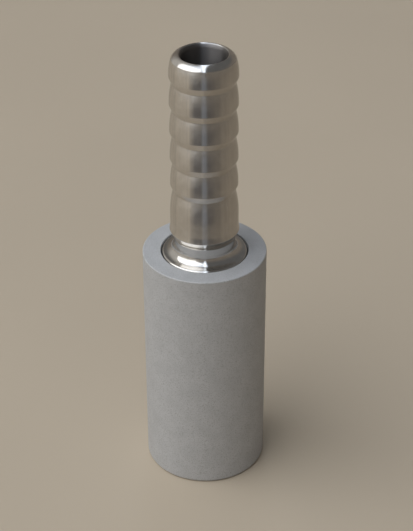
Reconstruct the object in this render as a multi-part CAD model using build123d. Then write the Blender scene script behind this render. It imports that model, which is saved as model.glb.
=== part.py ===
"""Air stone: a porous sintered-metal cup with a turned stainless hose-barb stem pressed into its mouth.

Millimetres, +Z up. The part stands on the closed end of the cup, with its axis on Z and the origin at the
centre of that end. The stem is one turned piece: a plug inside the cup, a flared collar level with the cup's
rim, a neck, a plain shank and a row of barbs, with one air bore right through it.
"""
import os

from build123d import *

# Porous cup
CUP_DIAMETER = 12.7
CUP_HEIGHT = 25.8
CUP_WALL = 1.85
CUP_FLOOR = 2.6
CUP_TOP_EDGE = 0.12
CUP_BOTTOM_EDGE = 0.35

# Stem: the plug, and the collar that closes the cup
PLUG_LENGTH = 6.0
PLUG_LEAD_IN = 0.4
COLLAR_GAP = 0.12
COLLAR_GAP_DEPTH = 1.0
COLLAR_EDGE = 0.24
FLARE_RADIUS = 0.92

# Stem: the neck and the shank
NECK_RADIUS = 3.12
SHANK_RADIUS = 3.46
NECK_TOP_ABOVE_CUP = 1.7
SHANK_FOOT_ABOVE_CUP = 2.65
SHANK_LIP_SPREAD = 0.09
SHANK_LIP_RISE = 0.7
SHANK_LENGTH = 1.9

# Stem: the barbs, and the rounded nose above the first one
OVERALL_HEIGHT = 47.65
BARB_COUNT = 5
BARB_PITCH = 2.94
BARB_RADIUS = 3.4
BARB_ROOT_RADIUS = 3.12
BARB_LAND = 0.14
BARB_BACK_HEIGHT = 0.7
FIRST_BARB_BELOW_MOUTH = 2.25
NOSE_RADIUS = 3.17
NOSE_TOP_BELOW_MOUTH = 0.5

# Stem: the mouth and the air bore
BORE_RADIUS = 2.2
MOUTH_LEAD_IN = 0.3
MOUTH_LEAD_IN_DEPTH = 0.45
LIP_FALL = 0.21

# Sizes that follow from those
CUP_RADIUS = CUP_DIAMETER / 2
SOCKET_RADIUS = CUP_RADIUS - CUP_WALL
NECK_TOP = CUP_HEIGHT + NECK_TOP_ABOVE_CUP
SHANK_FOOT = CUP_HEIGHT + SHANK_FOOT_ABOVE_CUP
FIRST_BARB = OVERALL_HEIGHT - FIRST_BARB_BELOW_MOUTH
LAST_BARB = FIRST_BARB - (BARB_COUNT - 1) * BARB_PITCH
NOSE_TOP = OVERALL_HEIGHT - NOSE_TOP_BELOW_MOUTH

# Directions in the (radius, height) plane of the stem's outline
INWARDS = (-1, 0)
UPWARDS = (0, 1)
DOWNWARDS = (0, -1)


def porous_cup():
    """One pressed and sintered cup: a round wall with a closed end."""
    block = Pos(0, 0, CUP_HEIGHT / 2) * Cylinder(CUP_RADIUS, CUP_HEIGHT)
    rim = block.edges().filter_by(GeomType.CIRCLE).sort_by(Axis.Z)[-1]
    block = fillet(rim, CUP_TOP_EDGE)
    foot = block.edges().filter_by(GeomType.CIRCLE).sort_by(Axis.Z)[0]
    block = fillet(foot, CUP_BOTTOM_EDGE)
    depth = CUP_HEIGHT - CUP_FLOOR
    return block - Pos(0, 0, CUP_FLOOR + depth / 2) * Cylinder(SOCKET_RADIUS, depth)


def collar_outline():
    """The plug, the gap beside the collar, the collar's rounded edge and the flare up to the neck."""
    collar = SOCKET_RADIUS - COLLAR_GAP
    plug_foot = CUP_HEIGHT - PLUG_LENGTH
    gap_foot = CUP_HEIGHT - COLLAR_GAP_DEPTH
    edge_foot = (collar, CUP_HEIGHT - COLLAR_EDGE)
    edge_top = (collar - COLLAR_EDGE, CUP_HEIGHT)
    flare_foot = (NECK_RADIUS + FLARE_RADIUS, CUP_HEIGHT)
    neck_foot = (NECK_RADIUS, CUP_HEIGHT + FLARE_RADIUS)
    plug = Polyline(
        (BORE_RADIUS, plug_foot),
        (SOCKET_RADIUS - PLUG_LEAD_IN, plug_foot),
        (SOCKET_RADIUS, plug_foot + PLUG_LEAD_IN),
        (SOCKET_RADIUS, gap_foot),
        (collar, gap_foot),
        edge_foot,
    )
    edge = TangentArc(edge_foot, edge_top, tangent=UPWARDS)
    ledge = Line(edge_top, flare_foot)
    flare = TangentArc(flare_foot, neck_foot, tangent=INWARDS)
    return [plug, edge, ledge, flare]


def shank_outline():
    """The neck, the bevel out to the shank's slightly spread foot, its plain stretch and its crowned top."""
    neck_foot = (NECK_RADIUS, CUP_HEIGHT + FLARE_RADIUS)
    lip = (SHANK_RADIUS + SHANK_LIP_SPREAD, SHANK_FOOT)
    plain_foot = (SHANK_RADIUS, SHANK_FOOT + SHANK_LIP_RISE)
    plain_top = (SHANK_RADIUS, SHANK_FOOT + SHANK_LENGTH)
    neck = Polyline(neck_foot, (NECK_RADIUS, NECK_TOP), lip)
    spread = TangentArc(plain_foot, lip, tangent=DOWNWARDS)
    plain = Line(plain_foot, plain_top)
    shoulder_top = (BARB_ROOT_RADIUS, LAST_BARB - BARB_BACK_HEIGHT)
    shoulder = TangentArc(plain_top, shoulder_top, tangent=UPWARDS)
    return [neck, spread, plain, shoulder]


def barb_outline(foot):
    """One barb's sloped back, from the root out to the edge, and its narrow land."""
    return Polyline(
        (BARB_ROOT_RADIUS, foot - BARB_BACK_HEIGHT),
        (BARB_RADIUS, foot),
        (BARB_RADIUS, foot + BARB_LAND),
    )


def barbs_outline():
    """Every barb, each with a crowned flank that narrows to the root under the next one, and the nose."""
    lines = []
    for index in reversed(range(BARB_COUNT)):
        foot = FIRST_BARB - index * BARB_PITCH
        next_root = foot + BARB_PITCH - BARB_BACK_HEIGHT
        flank_top = (BARB_ROOT_RADIUS, next_root) if index else (NOSE_RADIUS, NOSE_TOP)
        lines.append(barb_outline(foot))
        lines.append(TangentArc((BARB_RADIUS, foot + BARB_LAND), flank_top, tangent=UPWARDS))
    return lines


def mouth_outline():
    """The rounded bevel of the lip, falling outwards from its first step, the mouth's lead-in, and the bore."""
    bore_top = (BORE_RADIUS, OVERALL_HEIGHT - MOUTH_LEAD_IN_DEPTH)
    lip_top = (BORE_RADIUS + MOUTH_LEAD_IN, OVERALL_HEIGHT)
    lip = TangentArc(lip_top, (NOSE_RADIUS, NOSE_TOP), tangent=(1, -LIP_FALL))
    lead_in = TangentArc(bore_top, lip_top, tangent=UPWARDS)
    bore = Line(bore_top, (BORE_RADIUS, CUP_HEIGHT - PLUG_LENGTH))
    return [lip, lead_in, bore]


def barbed_stem():
    """One turned piece, made by turning its outline about the axis."""
    outline = collar_outline() + shank_outline() + barbs_outline() + mouth_outline()
    edges = [edge for line in outline for edge in line.edges()]
    section = Plane.XZ * make_face(Wire(edges))
    return revolve(section, Axis.Z)


NODES = {
    "porous_cup": porous_cup,
    "barbed_stem": barbed_stem,
}

os.makedirs("parts", exist_ok=True)
for name, build in NODES.items():
    export_step(build(), f"parts/{name}.step")
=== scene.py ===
"""Looks of the air stone: a matte sintered-steel cup with a bright turned-steel hose barb in its mouth.

Both visible pieces are turned afresh from the CAD nodes' own outlines, much finer than the CAD meshes,
with worn edges, and the cup gets a real grain in its mesh. Lengths are metres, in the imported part's frame.
"""
import math

import bmesh
import bpy
import numpy as np
from mathutils import Matrix, Vector, noise


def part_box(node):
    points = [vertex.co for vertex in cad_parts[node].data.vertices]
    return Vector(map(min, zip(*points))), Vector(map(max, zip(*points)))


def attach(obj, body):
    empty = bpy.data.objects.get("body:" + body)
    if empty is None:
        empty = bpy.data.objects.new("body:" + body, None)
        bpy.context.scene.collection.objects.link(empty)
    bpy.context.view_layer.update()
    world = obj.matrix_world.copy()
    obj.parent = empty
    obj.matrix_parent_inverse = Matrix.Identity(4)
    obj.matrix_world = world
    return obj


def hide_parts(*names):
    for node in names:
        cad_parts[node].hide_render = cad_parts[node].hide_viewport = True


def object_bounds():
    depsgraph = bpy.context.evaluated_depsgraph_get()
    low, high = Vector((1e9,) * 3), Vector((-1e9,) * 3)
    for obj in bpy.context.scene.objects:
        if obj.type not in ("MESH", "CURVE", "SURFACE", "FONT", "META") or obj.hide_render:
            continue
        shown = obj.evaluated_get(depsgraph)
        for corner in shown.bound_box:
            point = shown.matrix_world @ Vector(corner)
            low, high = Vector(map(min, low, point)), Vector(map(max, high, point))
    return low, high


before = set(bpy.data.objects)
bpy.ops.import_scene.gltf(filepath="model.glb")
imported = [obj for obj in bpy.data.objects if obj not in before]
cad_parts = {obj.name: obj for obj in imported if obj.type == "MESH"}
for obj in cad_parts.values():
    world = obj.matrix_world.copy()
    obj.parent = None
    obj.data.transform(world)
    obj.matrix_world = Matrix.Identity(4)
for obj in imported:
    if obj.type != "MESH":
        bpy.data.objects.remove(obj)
cad_low, cad_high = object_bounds()

MM = 0.001

# Meshes
SAME_RING = 0.002 * MM
CORNER_TURN = math.radians(25)
FINE_TURN = math.radians(1.5)
STEM_SIDES = 288
STEM_WEAR = 0.035 * MM
CUP_SIDES = 320
CUP_STEP = 0.125 * MM
CUP_WEAR = 0.06 * MM
HIDDEN_STEP = 3.0 * MM
POLE_MERGE = 0.0001 * MM
# A worn corner takes at most this share of the step beside it, and is rounded in this many steps
WEAR_SHARE = 0.45
WEAR_STEPS = 5

# The cup's grain: the size of its lumps and how far they stand out
LUMPS = ((0.28 * MM, 0.004 * MM), (1.2 * MM, 0.004 * MM))
# Pits in its side: angle from the front in degrees, height, radius and depth
PITS = (
    (15.8, 24.6 * MM, 0.13 * MM, 0.035 * MM),
    (15.5, 19.9 * MM, 0.12 * MM, 0.03 * MM),
    (-4.5, 10.2 * MM, 0.16 * MM, 0.03 * MM),
)

# Sintered steel: its colours, the sizes of what shows in it, and the bump of its grains
STONE_DIM = (0.465, 0.47, 0.475, 1.0)
STONE_PALE = (0.505, 0.51, 0.515, 1.0)
STONE_SPECK = (0.35, 0.35, 0.34, 1.0)
STONE_ROUGHNESS = (0.75, 0.55)
STONE_METALLIC = 0.25
GRAIN_SIZE = 0.085 * MM
SPECK_SIZE = 0.10 * MM
MOTTLE_SIZE = 1.6 * MM
GRAIN_BUMP = 0.006 * MM

# Turned steel: its colours, its turning marks and its finish
STEEL_DIM = (0.62, 0.60, 0.57, 1.0)
STEEL_PALE = (0.67, 0.65, 0.615, 1.0)
STAIN_SIZE = 0.7 * MM
STAIN_ROUGHNESS = 0.02
MARK_SIZE = 0.05 * MM
MARK_STRETCH = 0.02
MARK_BUMP = 0.0006 * MM
ANISOTROPY = 0.9
QUARTER_TURN = 0.25
# The collar and the neck are polished smoother than what is above these heights over the cup's rim
POLISH_ENDS = (2.5 * MM, 3.2 * MM)
POLISH_ROUGHNESS = (0.15, 0.20)
# The bore is duller than the outside and darker with painted shade, within these radii
BORE_EDGE = (2.50 * MM, 2.32 * MM)
BORE_SHADE_COLOUR = (0.23, 0.22, 0.215, 1.0)
BORE_ROUGHNESS = 0.5

# Camera
LENS = 104.7
SENSOR = 36.0
CAMERA_AT = (4.94 * MM, -133.45 * MM, 110.24 * MM)
CAMERA_PITCH = math.radians(32.93)
CAMERA_YAW = math.radians(-2.04)
CAMERA_ROLL = math.radians(-0.25)

# Floor
FLOOR_HALF = 1.5
FLOOR_COLOUR = (0.515, 0.435, 0.33, 1.0)
FLOOR_SHADE = 0.96
FLOOR_CLOUD = 60 * MM
MATTE = 0.9

# The card that reflections show, with painted shade in front, a painted brown shadow to the right and a
# painted light streak: its colours, and the distances from the axis over which its painted shade fades in
# and out
CARD_SHADE = (0.10, 0.088, 0.08, 1.0)
CARD_BROWN_SHADOW = (0.38, 0.31, 0.225, 1.0)
CARD_LIGHT_STREAK = (0.24, 0.25, 0.27, 1.0)
CARD_NEAR = (46 * MM, 54 * MM)
CARD_FAR = (300 * MM, 800 * MM)
CARD_ABOVE_FLOOR = 0.1 * MM
# Its zones fade in and out over these azimuths, in degrees from the front, positive to the right
SHADE_ZONE = ((-52, -25), (95, 5))
SHADOW_ZONE = ((-20, 30), (175, 140))
LIGHT_STREAK_AZIMUTH = 3
LIGHT_STREAK_FADE = (12, 3)
# Folds: darker stripes of painted shade round the card, by azimuth
FOLD_SCALE = 5.0
FOLD_RANGE = (0.38, 0.62)
FOLD_SHADE = 0.22

# Room: the colours of its parts, which light the object and show in the steel
ROOM_RIGHT_LOW = (0.20, 0.175, 0.15, 1.0)
ROOM_RIGHT_HIGH = (0.12, 0.12, 0.12, 1.0)
ROOM_LEFT = (0.52, 0.50, 0.47, 1.0)
ROOM_WINDOW = (1.1, 1.2, 1.38, 1.0)
ROOM_BAND = (1.8, 2.0, 2.3, 1.0)
BACKDROP = (0.40, 0.36, 0.30, 1.0)
# How far the window and the band lean to one side, and how far the band's middle is from the centre
ROOM_LEAN = 0.04
BAND_OFFSET = 0.012


# ---- Outlines of the turned nodes, as (radius, height) points

def rings_of(node):
    """The rings of points of a turned CAD node, and which of them its mesh joins."""
    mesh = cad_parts[node].data
    rings = []
    ring_of_vertex = []
    for vertex in mesh.vertices:
        point = np.array((math.hypot(vertex.co.x, vertex.co.y), vertex.co.z))
        known = (i for i, ring in enumerate(rings) if np.abs(ring - point).max() < SAME_RING)
        index = next(known, len(rings))
        if index == len(rings):
            rings.append(point)
        ring_of_vertex.append(index)
    joined = {index: set() for index in range(len(rings))}
    for edge in mesh.edges:
        a, b = (ring_of_vertex[v] for v in edge.vertices)
        if a != b:
            joined[a].add(b)
            joined[b].add(a)
    return rings, joined


def outline_of(node):
    """The node's rings in order along its outline, from the lowest one outwards, up and down the inside."""
    rings, joined = rings_of(node)
    path = [min(joined, key=lambda i: (round(rings[i][1], 6), rings[i][0]))]
    while True:
        here = rings[path[-1]]
        ahead = [i for i in joined[path[-1]] if i not in path]
        if not ahead:
            return [rings[i] for i in path]
        path.append(min(ahead, key=lambda i: np.hypot(*(rings[i] - here))))


def turn_at(before, here, after):
    """How far an outline turns at a point."""
    a = here - before
    b = after - here
    return abs(math.atan2(a[0] * b[1] - a[1] * b[0], a @ b))


def runs_between_corners(outline):
    """The outline cut at its corners into smooth runs."""
    runs = [[outline[0]]]
    for before, here, after in zip(outline, outline[1:], outline[2:]):
        runs[-1].append(here)
        if turn_at(before, here, after) > CORNER_TURN:
            runs.append([here])
    runs[-1].append(outline[-1])
    return [np.array(run) for run in runs]


def directions_along(points):
    """Unit directions of a smooth curve at its points; a long straight step keeps its own direction."""
    steps = np.diff(points, axis=0)
    lengths = np.hypot(*steps.T)[:, None]
    ways = steps / lengths
    inner = ways[:-1] * lengths[:-1] ** 2 + ways[1:] * lengths[1:] ** 2
    inner = inner / np.hypot(*inner.T)[:, None]
    first = 2 * ways[:1] - inner[:1] if len(inner) else ways
    last = 2 * ways[-1:] - inner[-1:] if len(inner) else ways
    ways = np.vstack([first, inner, last])
    return ways / np.hypot(*ways.T)[:, None]


def smooth_run(points, step):
    """Close points on a smooth curve through these ones."""
    ways = directions_along(points)
    fine = []
    for start, end, way_out, way_in in zip(points, points[1:], ways, ways[1:]):
        length = np.hypot(*(end - start))
        turn = math.acos(max(-1.0, min(1.0, float(way_out @ way_in))))
        count = max(1, math.ceil(length / step), math.ceil(turn / FINE_TURN))
        t = (np.arange(count) / count)[:, None]
        fine.append(
            (2 * t**3 - 3 * t**2 + 1) * start
            + (t**3 - 2 * t**2 + t) * length * way_out
            + (3 * t**2 - 2 * t**3) * end
            + (t**3 - t**2) * length * way_in
        )
    return np.vstack(fine + [points[-1:]])


def cut_back(points, distance):
    """A run with that much taken off its end."""
    left = distance
    points = list(points)
    while len(points) > 2 and np.hypot(*(points[-1] - points[-2])) <= left:
        left -= np.hypot(*(points[-1] - points[-2]))
        points.pop()
    span = points[-2] - points[-1]
    points[-1] = points[-1] + span * min(WEAR_SHARE, left / np.hypot(*span))
    return np.array(points)


def worn_outline(runs, wear):
    """All the runs as one outline, with each corner between them worn round."""
    pieces = [runs[0]]
    t = np.arange(1, WEAR_STEPS)[:, None] / WEAR_STEPS
    for run in runs[1:]:
        corner = run[0]
        before = cut_back(pieces[-1], wear)
        after = cut_back(run[::-1], wear)[::-1]
        bend = (1 - t) ** 2 * before[-1] + 2 * t * (1 - t) * corner + t**2 * after[0]
        pieces[-1] = before
        pieces.append(bend)
        pieces.append(after)
    return np.vstack(pieces)


# ---- Meshes

def turned_points(outline, sides):
    """A grid of points, one row for each outline point, and their outward normals."""
    ways = directions_along(outline)
    angles = np.arange(sides) * (2 * math.pi / sides)
    around = np.stack([np.cos(angles), np.sin(angles)], axis=1)
    points = np.empty((len(outline), sides, 3))
    points[:, :, :2] = outline[:, None, :1] * around
    points[:, :, 2] = outline[:, None, 1]
    normals = np.empty_like(points)
    normals[:, :, :2] = ways[:, None, 1:] * around
    normals[:, :, 2] = -ways[:, None, 0]
    return points, normals


def turned_piece(name, points, closed):
    """A smooth mesh over rows of points round the axis; closed joins the last row to the first."""
    count, sides = points.shape[:2]
    index = np.arange(count * sides).reshape(count, sides)
    after = np.roll(index, -1, axis=0)
    if not closed:
        index, after = index[:-1], after[:-1]
    corners = [index, np.roll(index, -1, axis=1), np.roll(after, -1, axis=1), after]
    faces = np.stack(corners, axis=-1).reshape(-1, 4)
    mesh = bpy.data.meshes.new(name)
    mesh.from_pydata(points.reshape(-1, 3).tolist(), [], faces.tolist())
    mesh.polygons.foreach_set("use_smooth", [True] * len(mesh.polygons))
    piece = bpy.data.objects.new(name, mesh)
    bpy.context.scene.collection.objects.link(piece)
    return piece


def merge_poles(piece):
    """Makes one point of each row that lies on the axis."""
    mesh = bmesh.new()
    mesh.from_mesh(piece.data)
    bmesh.ops.remove_doubles(mesh, verts=mesh.verts, dist=POLE_MERGE)
    mesh.to_mesh(piece.data)
    mesh.free()


def grain_height(points):
    """How far the cup's grain and its pits move each point out."""
    height = np.zeros(len(points))
    for size, amount in LUMPS:
        height += [amount * noise.noise(Vector(point) / size) for point in points]
    radius = np.hypot(points[:, 0], points[:, 1]).max()
    for degrees, z, width, depth in PITS:
        angle = math.radians(degrees - 90)
        centre = np.array((radius * math.cos(angle), radius * math.sin(angle), z))
        away = np.linalg.norm(points - centre, axis=1) / width
        height -= depth * np.exp(-2 * away**2)
    return height


# ---- Materials

class Nodes:
    """Short names for the node calls that the materials and the world share."""

    def __init__(self, owner):
        owner.use_nodes = True
        self.tree = owner.node_tree
        self.tree.nodes.clear()

    def set(self, socket, value):
        if isinstance(value, bpy.types.NodeSocket):
            self.tree.links.new(value, socket)
        else:
            socket.default_value = value

    def add(self, kind, inputs=None, **settings):
        node = self.tree.nodes.new(kind)
        for key, value in settings.items():
            setattr(node, key, value)
        for key, value in (inputs or {}).items():
            self.set(node.inputs[key], value)
        return node

    def math(self, operation, *values, clamp=False):
        node = self.add("ShaderNodeMath", dict(enumerate(values)), operation=operation, use_clamp=clamp)
        return node.outputs[0]

    def product(self, first, *others):
        for other in others:
            first = self.math("MULTIPLY", first, other)
        return first

    def ramp(self, value, low, high, to_low=0.0, to_high=1.0):
        inputs = {"Value": value, "From Min": low, "From Max": high, "To Min": to_low, "To Max": to_high}
        return self.add("ShaderNodeMapRange", inputs, interpolation_type="SMOOTHSTEP").outputs[0]

    def noise(self, vector, size, detail=2.0, roughness=0.5):
        inputs = {"Vector": vector, "Scale": 1 / size, "Detail": detail, "Roughness": roughness}
        return self.add("ShaderNodeTexNoise", inputs).outputs["Fac"]

    def mix(self, amount, a, b):
        node = self.add("ShaderNodeMix", data_type="RGBA")
        sockets = {socket.identifier: socket for socket in node.inputs}
        self.set(sockets["Factor_Float"], amount)
        self.set(sockets["A_Color"], a)
        self.set(sockets["B_Color"], b)
        return next(socket for socket in node.outputs if socket.identifier == "Result_Color")

    def bump(self, height, distance):
        return self.add("ShaderNodeBump", {"Height": height, "Distance": distance}).outputs[0]

    def surface(self, inputs):
        shader = self.add("ShaderNodeBsdfPrincipled", inputs)
        self.add("ShaderNodeOutputMaterial", {"Surface": shader.outputs[0]})


def sintered_steel():
    """Matte grey powder metal: fused grains, faint mottling and a few darker grains."""
    material = bpy.data.materials.new("sintered_steel")
    n = Nodes(material)
    place = n.add("ShaderNodeTexCoord").outputs["Object"]
    grains = n.add("ShaderNodeTexVoronoi", {"Vector": place, "Scale": 1 / GRAIN_SIZE}).outputs["Distance"]
    fine = n.noise(place, SPECK_SIZE, detail=3.0)
    mottle = n.noise(place, MOTTLE_SIZE, detail=3.0, roughness=0.6)
    cloudy = n.mix(n.ramp(mottle, 0.3, 0.7), STONE_DIM, STONE_PALE)
    speckled = n.mix(n.ramp(fine, 0.30, 0.50), STONE_SPECK, cloudy)
    n.surface({
        "Base Color": speckled,
        "Metallic": STONE_METALLIC,
        "Roughness": n.ramp(fine, 0.2, 0.8, *STONE_ROUGHNESS),
        "Normal": n.bump(n.math("SUBTRACT", fine, grains), GRAIN_BUMP),
    })
    return material


def turned_steel():
    """Bright stainless with fine turning marks round it, smoothest at the collar, and dull and darkened with
    painted shade in the bore.
    """
    material = bpy.data.materials.new("turned_steel")
    n = Nodes(material)
    place = n.add("ShaderNodeTexCoord").outputs["Object"]
    squeeze = (MARK_STRETCH, MARK_STRETCH, 1.0)
    rings = n.add("ShaderNodeMapping", {"Vector": place, "Scale": squeeze}).outputs[0]
    marks = n.noise(rings, MARK_SIZE, detail=3.0, roughness=0.7)
    stain = n.noise(place, STAIN_SIZE, detail=3.0)
    height = n.add("ShaderNodeSeparateXYZ", {"Vector": place}).outputs["Z"]
    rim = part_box("porous_cup")[1].z
    polished = n.ramp(height, *(rim + above for above in POLISH_ENDS), *POLISH_ROUGHNESS)
    level = n.add("ShaderNodeMapping", {"Vector": place, "Scale": (1.0, 1.0, 0.0)}).outputs[0]
    from_axis = n.add("ShaderNodeVectorMath", {0: level}, operation="LENGTH").outputs["Value"]
    # 1 in the bore: duller there, and darkened with painted shade
    inside = n.ramp(from_axis, *BORE_EDGE)
    roughness = n.math("ADD", polished, n.ramp(stain, 0.3, 0.7, -STAIN_ROUGHNESS, STAIN_ROUGHNESS))
    roughness = n.math("MAXIMUM", roughness, n.math("MULTIPLY", inside, BORE_ROUGHNESS))
    shine = n.mix(n.ramp(stain, 0.35, 0.7), STEEL_DIM, STEEL_PALE)
    n.surface({
        # Painted shade darkens the colour in the bore
        "Base Color": n.mix(inside, shine, BORE_SHADE_COLOUR),
        "Metallic": 1.0,
        "Roughness": roughness,
        "Anisotropic": ANISOTROPY,
        "Anisotropic Rotation": QUARTER_TURN,
        "Normal": n.bump(marks, MARK_BUMP),
    })
    return material


def floor_surface():
    """A matte surface with a faint unevenness."""
    material = bpy.data.materials.new("floor")
    n = Nodes(material)
    place = n.add("ShaderNodeTexCoord").outputs["Object"]
    darker = tuple(FLOOR_SHADE * part for part in FLOOR_COLOUR[:3]) + (1.0,)
    cloud = n.noise(place, FLOOR_CLOUD, detail=2.0)
    colour = n.mix(n.ramp(cloud, 0.3, 0.7), darker, FLOOR_COLOUR)
    n.surface({"Base Color": colour, "Roughness": MATTE})
    return material


def between(n, azimuth, zone):
    """1 inside a zone of azimuths, fading to 0 past its two ends."""
    starts, ends = zone
    fade_in = n.ramp(azimuth, *map(math.radians, starts))
    fade_out = n.ramp(azimuth, *map(math.radians, ends))
    return n.product(fade_in, fade_out)


def shade_card_surface():
    """The floor's colour with dark painted shade in front, a brown painted shadow to the right, a pale
    painted light streak and folds of painted shade.
    """
    material = bpy.data.materials.new("shade_card")
    n = Nodes(material)
    place = n.add("ShaderNodeTexCoord").outputs["Object"]
    x, y, _ = n.add("ShaderNodeSeparateXYZ", {"Vector": place}).outputs
    azimuth = n.math("ARCTAN2", x, n.math("MULTIPLY", y, -1.0))
    away = n.add("ShaderNodeVectorMath", {0: place}, operation="LENGTH").outputs["Value"]
    past_near = n.ramp(away, *CARD_NEAR)
    ring = n.product(past_near, n.ramp(away, *CARD_FAR, 1.0, 0.0))
    # Painted brown shadow to the right and painted shade in front
    colour = n.mix(between(n, azimuth, SHADOW_ZONE), FLOOR_COLOUR, CARD_BROWN_SHADOW)
    colour = n.mix(n.product(ring, between(n, azimuth, SHADE_ZONE)), colour, CARD_SHADE)
    # A painted light streak over the shade
    off_streak = n.math("ABSOLUTE", n.math("SUBTRACT", azimuth, math.radians(LIGHT_STREAK_AZIMUTH)))
    streak = n.product(n.ramp(off_streak, *map(math.radians, LIGHT_STREAK_FADE)), past_near)
    colour = n.mix(streak, colour, CARD_LIGHT_STREAK)
    # Folds of painted shade
    fold_inputs = {"W": azimuth, "Scale": FOLD_SCALE, "Detail": 1.0}
    folds = n.add("ShaderNodeTexNoise", fold_inputs, noise_dimensions="1D").outputs["Fac"]
    colour = n.mix(n.ramp(folds, *FOLD_RANGE, 0.0, FOLD_SHADE), colour, CARD_SHADE)
    n.surface({"Base Color": colour, "Roughness": MATTE})
    return material


# ---- Pieces

def show(piece, node, material):
    """The piece rides on the one body, stands for its CAD node and gets its material."""
    piece.data.materials.append(material)
    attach(piece, "root")
    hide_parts(node)


def add_cup():
    """The porous cup: its underside, wall and rim with their grain, and the plain socket inside."""
    outline = outline_of("porous_cup")
    under = np.array((0.0, outline[0][1]))
    socket_floor = np.array((0.0, outline[-1][1]))
    runs = runs_between_corners([under, *outline, socket_floor])
    steps = [CUP_STEP] + [HIDDEN_STEP] * (len(runs) - 1)
    outline = worn_outline([smooth_run(run, step) for run, step in zip(runs, steps)], CUP_WEAR)
    points, normals = turned_points(outline, CUP_SIDES)
    grain = grain_height(points.reshape(-1, 3)).reshape(points.shape[:2])
    socket_radius = runs[1][0][0]
    second_half = np.arange(len(outline)) > len(outline) / 2
    in_socket = second_half & (outline[:, 0] <= socket_radius + SAME_RING)
    grain[in_socket] = 0
    points += normals * grain[:, :, None]
    cup = turned_piece("cup_sintered", points, closed=False)
    merge_poles(cup)
    show(cup, "porous_cup", sintered_steel())


def add_stem():
    """The turned stem, with all its edges a little worn."""
    outline = outline_of("barbed_stem")
    runs = runs_between_corners([*outline, outline[0]])
    outline = worn_outline([smooth_run(run, math.inf) for run in runs], STEM_WEAR)[:-1]
    points, normals = turned_points(outline, STEM_SIDES)
    stem = turned_piece("stem_turned", points, closed=True)
    stem.data.normals_split_custom_set_from_vertices(normals.reshape(-1, 3).tolist())
    show(stem, "barbed_stem", turned_steel())


# ---- Surroundings

def staged_plane(name, low, high, z, material):
    """A flat rectangle that isn't part of the object."""
    mesh = bpy.data.meshes.new(name)
    corners = [(low[0], low[1], z), (high[0], low[1], z), (high[0], high[1], z), (low[0], high[1], z)]
    mesh.from_pydata(corners, [], [(0, 1, 2, 3)])
    mesh.materials.append(material)
    plane = bpy.data.objects.new(name, mesh)
    bpy.context.scene.collection.objects.link(plane)
    return plane


def add_floor():
    half = FLOOR_HALF
    staged_plane("floor", (-half, -half), (half, half), cad_low.z, floor_surface())


def add_shade_card():
    """A card just over the floor, painted with shade, a shadow and a light streak, which shows in
    reflections and nowhere else.
    """
    half = CARD_FAR[1]
    height = cad_low.z + CARD_ABOVE_FLOOR
    card = staged_plane("shade_card", (-half, -half), (half, half), height, shade_card_surface())
    card.visible_camera = False
    card.visible_diffuse = False
    card.visible_shadow = False


def add_light(name, azimuth, elevation, distance, size, watts, colour):
    """A soft area light that faces the object. Azimuth is from the camera's side, positive to its right."""
    azimuth = math.radians(azimuth)
    elevation = math.radians(elevation)
    way = Vector((
        math.sin(azimuth) * math.cos(elevation),
        -math.cos(azimuth) * math.cos(elevation),
        math.sin(elevation),
    ))
    data = bpy.data.lights.new(name, "AREA")
    data.shape = "RECTANGLE"
    data.size, data.size_y = size
    data.energy = watts
    data.color = colour
    light = bpy.data.objects.new(name, data)
    light.location = way * distance
    light.rotation_euler = way.to_track_quat("Z", "Y").to_euler()
    bpy.context.scene.collection.objects.link(light)


def add_world():
    """A soft room: pale to the left, brighter high up there, dim to the right, with a bright band overhead.

    Its parts are told apart by a direction's x, to the right, y, to the back, and z, up. Camera rays that
    miss everything see one plain backdrop instead.
    """
    world = bpy.data.worlds.new("room")
    bpy.context.scene.world = world
    n = Nodes(world)
    way = n.add("ShaderNodeTexCoord").outputs["Generated"]
    x, y, z = n.add("ShaderNodeSeparateXYZ", {"Vector": way}).outputs
    right = n.mix(n.ramp(z, 0.3, 0.6), ROOM_RIGHT_LOW, ROOM_RIGHT_HIGH)
    leftness = n.product(n.ramp(x, 0.1, -0.65), n.ramp(y, 0.95, 0.6))
    walls = n.mix(leftness, right, ROOM_LEFT)
    across = n.math("ADD", x, n.math("MULTIPLY", y, ROOM_LEAN))
    window = n.product(n.ramp(across, 0.05, -0.04), n.ramp(z, 0.45, 1.0), n.ramp(y, 0.4, 0.1))
    room = n.mix(window, walls, ROOM_WINDOW)
    off_band = n.math("ABSOLUTE", n.math("SUBTRACT", across, BAND_OFFSET))
    band = n.product(n.ramp(off_band, 0.075, 0.045), n.ramp(y, 0.75, 0.6), n.ramp(z, 0.1, 0.75))
    lit = n.mix(band, room, ROOM_BAND)
    seen = n.add("ShaderNodeLightPath").outputs["Is Camera Ray"]
    shader = n.add("ShaderNodeBackground", {"Color": n.mix(seen, lit, BACKDROP), "Strength": 1.0})
    n.add("ShaderNodeOutputWorld", {"Surface": shader.outputs[0]})


def add_camera():
    """A long lens from the front, looking down on the object."""
    data = bpy.data.cameras.new("camera")
    data.lens = LENS
    data.sensor_width = SENSOR
    data.clip_start = 1 * MM
    camera = bpy.data.objects.new("camera", data)
    yaw = Matrix.Rotation(-CAMERA_YAW, 4, "Z")
    pitch = Matrix.Rotation(math.pi / 2 - CAMERA_PITCH, 4, "X")
    roll = Matrix.Rotation(CAMERA_ROLL, 4, "Z")
    camera.matrix_world = Matrix.Translation(CAMERA_AT) @ yaw @ pitch @ roll
    bpy.context.scene.collection.objects.link(camera)
    bpy.context.scene.camera = camera


add_cup()
add_stem()
add_floor()
add_shade_card()
add_light(
    "left_softbox",
    azimuth=-64,
    elevation=46,
    distance=0.75,
    size=(1.0, 0.7),
    watts=3.3,
    colour=(0.98, 0.99, 1.0),
)
add_world()
add_camera()
bpy.context.scene.view_settings.view_transform = "Standard"
